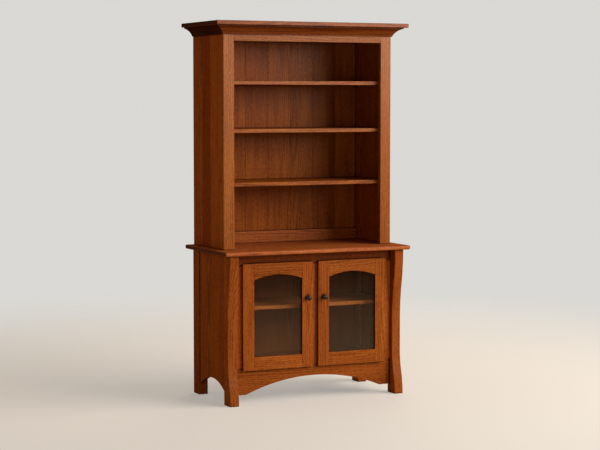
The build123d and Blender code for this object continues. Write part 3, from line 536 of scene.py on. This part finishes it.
def dress_wood():
    base_upright = [
        "base_centre_stile", "base_stile_left", "base_stile_right", "base_front_leg_left",
        "base_front_leg_right", "base_rear_leg_left", "base_rear_leg_right", "left_door_hinge_stile",
        "left_door_latch_stile", "right_door_hinge_stile", "right_door_latch_stile"]
    door_level = [
        "left_door_bottom_rail", "left_door_top_rail", "right_door_bottom_rail", "right_door_top_rail"]
    base_level = [
        "base_apron", "base_top_rail", "base_back_rails", "left_door_glass_stops", "right_door_glass_stops"]
    hutch_level_panels = [
        "crown_top_board", "hutch_case_top", "hutch_shelf_lower", "hutch_shelf_middle", "hutch_shelf_upper"]
    upright_panels = {
        "hutch_side_left": ("Y", HUTCH_SIDE_BOARDS),
        "hutch_side_right": ("Y", even_boards("hutch_side_right", HUTCH_SIDE_COUNT)),
        "base_side_panel_left": ("Y", even_boards("base_side_panel_left", BASE_SIDE_COUNT)),
        "base_side_panel_right": ("Y", even_boards("base_side_panel_right", BASE_SIDE_COUNT)),
        "base_back_panel": ("X", even_boards("base_back_panel", BASE_BACK_COUNT, BASE_BACK_TONES))}
    dress_oak(base_upright, "z", mottle=DOOR_MOTTLE)
    dress_oak(door_level, "x", mottle=DOOR_MOTTLE)
    dress_oak(base_level, "x")
    for node in ("base_floor", "base_shelf"):
        dress_panel(node, "x", even_boards(node, LEVEL_PANEL_BOARDS), "Y")
    dress_oak(["hutch_stile_left", "hutch_stile_right"], "z", shine=HUTCH_SHINE)
    dress_oak(["hutch_back_bottom_rail"], "x", shine=HUTCH_SHINE)
    dress_oak(["hutch_top_rail"], "x", shine=TOP_RAIL_SHINE)
    for node in hutch_level_panels:
        dress_panel(node, "x", even_boards(node, LEVEL_PANEL_BOARDS), "Y", shine=HUTCH_SHINE)
    dress("crown_moulding_front", stained_oak("oak_crown_front", "x", "crown_moulding_front"))
    dress_oak(["crown_moulding_left", "crown_moulding_right"], "y")
    for node, (board_axis, boards) in upright_panels.items():
        dress_panel(node, "z", boards, board_axis)
    back = stained_oak("oak_back_boards", "z", "hutch_back_boards", HUTCH_BACK_TONES_AND_SHADE, "X",
                       shine=BACK_SHINE, mottle=BACK_MOTTLE)
    dress("hutch_back_boards", back)
    planks = even_boards("countertop", COUNTER_COUNT, COUNTER_TONES)
    dress_panel("countertop", "x", planks, "Y", shine=COUNTER_SHINE, roughness=COUNTER_ROUGHNESS)


def dress_rest():
    """Hidden blocks, glass, knobs, hardware and bumpers."""
    wood = bare_wood("bare_wood")
    for node in ("counter_cleats", "crown_corner_blocks", "hutch_locating_dowels"):
        dress(node, wood)
    glass = clear_glass("clear_glass")
    bronze = worn_metal("dark_bronze", *BRONZE)
    steel = worn_metal("zinc_steel", *STEEL)
    for side in ("left", "right"):
        dress(f"{side}_door_glass", glass)
        dress(f"{side}_door_knob", bronze)
        for part in ("hinge_leaves", "screws", "strike_plate"):
            dress(f"{side}_door_{part}", steel)
    for node in ("carcass_screws", "hinge_frame_leaves", "hutch_tie_plates", "shelf_pins"):
        dress(node, steel)
    dress("magnetic_catches", moulded("catch_plastic", *CATCH_PLASTIC))
    dress("door_bumpers", moulded("bumper_rubber", *BUMPER_RUBBER))


def pale_floor(name):
    """Matt floor that glows a little and is clear at its rim."""
    graph = new_material(name)
    place = graph.add("TexCoord").outputs["Object"]
    rim = {"Value": graph.length(place), "From Min": FLOOR_SOLID_RADIUS, "From Max": FLOOR_RADIUS}
    fade = graph.add("MapRange", rim, interpolation_type="SMOOTHSTEP").outputs["Result"]
    solid = graph.add("BsdfPrincipled", {
        "Base Color": graph.ramp(graph.noise(place, *FLOOR_SPECKS), FLOOR_SPECK_STOPS),
        "Roughness": FLOOR_ROUGHNESS,
        "Specular IOR Level": FLOOR_SPECULAR})
    glow = graph.add("Emission", {"Color": FLOOR_GLOW, "Strength": graph.looked_at()})
    lit = graph.add("AddShader", {0: solid.outputs[0], 1: glow.outputs[0]})
    clear = graph.add("BsdfTransparent")
    return graph.finish(graph.add("MixShader", {0: fade, 1: lit.outputs[0], 2: clear.outputs[0]}))


def make_floor():
    """A pale disc, solid round the object and faded out into the background."""
    angles = [2 * math.pi * i / FLOOR_SIDES for i in range(FLOOR_SIDES)]
    points = [(FLOOR_RADIUS * math.cos(a), FLOOR_RADIUS * math.sin(a), 0) for a in angles]
    mesh = bpy.data.meshes.new("floor")
    mesh.from_pydata(points, [], [list(range(FLOOR_SIDES))])
    mesh.materials.append(pale_floor("pale_floor"))
    floor = bpy.data.objects.new("floor", mesh)
    bpy.context.scene.collection.objects.link(floor)


def make_world():
    """Soft ambient light, with a pale background for what the camera, mirrors and glass see."""
    graph = Graph(bpy.data.worlds.new("studio"), "OutputWorld")
    ambient = graph.add("Background", {"Color": AMBIENT_COLOUR, "Strength": AMBIENT_STRENGTH})
    seen = graph.add("Background", {"Color": BACKGROUND_COLOUR, "Strength": BACKGROUND_STRENGTH})
    both = graph.add("MixShader", {0: graph.looked_at(), 1: ambient.outputs[0], 2: seen.outputs[0]})
    bpy.context.scene.world = graph.finish(both)


def make_lamps():
    for name, facts in LAMPS.items():
        data = bpy.data.lights.new(name, "AREA")
        data.shape = "RECTANGLE"
        data.size, data.size_y = facts["size"]
        data.energy = facts["power"]
        data.color = facts["colour"]
        lamp = bpy.data.objects.new(name, data)
        lamp.location = facts["place"]
        aim = Vector(facts["aim"]) - Vector(facts["place"])
        lamp.rotation_euler = aim.to_track_quat("-Z", "Y").to_euler()
        bpy.context.scene.collection.objects.link(lamp)


def make_camera():
    data = bpy.data.cameras.new("photo_view")
    data.sensor_width = SENSOR_WIDTH
    data.lens = SENSOR_WIDTH * FOCAL_PIXELS / PHOTO_WIDTH
    camera = bpy.data.objects.new("photo_view", data)
    camera.location = CAMERA_PLACE
    camera.rotation_euler = (math.radians(90 - CAMERA_DIP), 0, math.radians(-CAMERA_TURN))
    bpy.context.scene.collection.objects.link(camera)
    bpy.context.scene.camera = camera


bpy.context.scene.view_settings.view_transform = "Standard"
make_camera()
make_world()
make_lamps()
make_floor()
dress_wood()
dress_rest()
